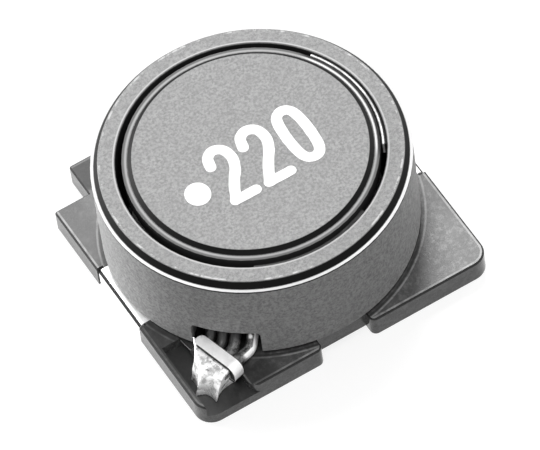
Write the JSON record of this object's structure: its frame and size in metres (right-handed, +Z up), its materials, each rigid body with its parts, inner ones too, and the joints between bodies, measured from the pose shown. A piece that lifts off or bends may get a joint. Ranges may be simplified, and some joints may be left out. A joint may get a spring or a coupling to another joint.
{
  "type": "shielded surface-mount inductor",
  "caption": "Shielded surface-mount power inductor: round ferrite drum core in a round ferrite ring core on a square plastic base with a tinned terminal on each side.",
  "frame": {"origin": "centre of the square base on the board plane, which is also the underside of the solder pads", "axes": "+Z up out of the board, +X from the left terminal to the right terminal, +Y from the front side to the back side"},
  "size_m": [0.0126, 0.0126, 0.0055],
  "materials": {
    "moulding": "matt, fine grained black thermoset",
    "tinned_sheet": "bright tin plating on copper alloy sheet",
    "ferrite_ring": "matt sintered ferrite, fine speckle",
    "ferrite_drum": "matt sintered ferrite, ground top",
    "wire": "enamelled copper strands, tinned at the ends",
    "solder": "bright wetted solder",
    "clear_adhesive": "glossy cured epoxy",
    "dark_adhesive": "dull cured epoxy"
  },
  "bodies": {
    "root": {"base": "moulding", "terminal_left": "tinned_sheet", "terminal_right": "tinned_sheet", "ring_core": "ferrite_ring", "drum_core": "ferrite_drum", "winding": "wire", "solder_front": "solder", "solder_back": "solder", "gap_bead_right": "clear_adhesive", "gap_bead_back": "dark_adhesive", "gap_bead_front": "dark_adhesive", "ring_film_left": "dark_adhesive", "ring_film_right": "dark_adhesive", "drum_film": "dark_adhesive"}
  },
  "joints": []
}
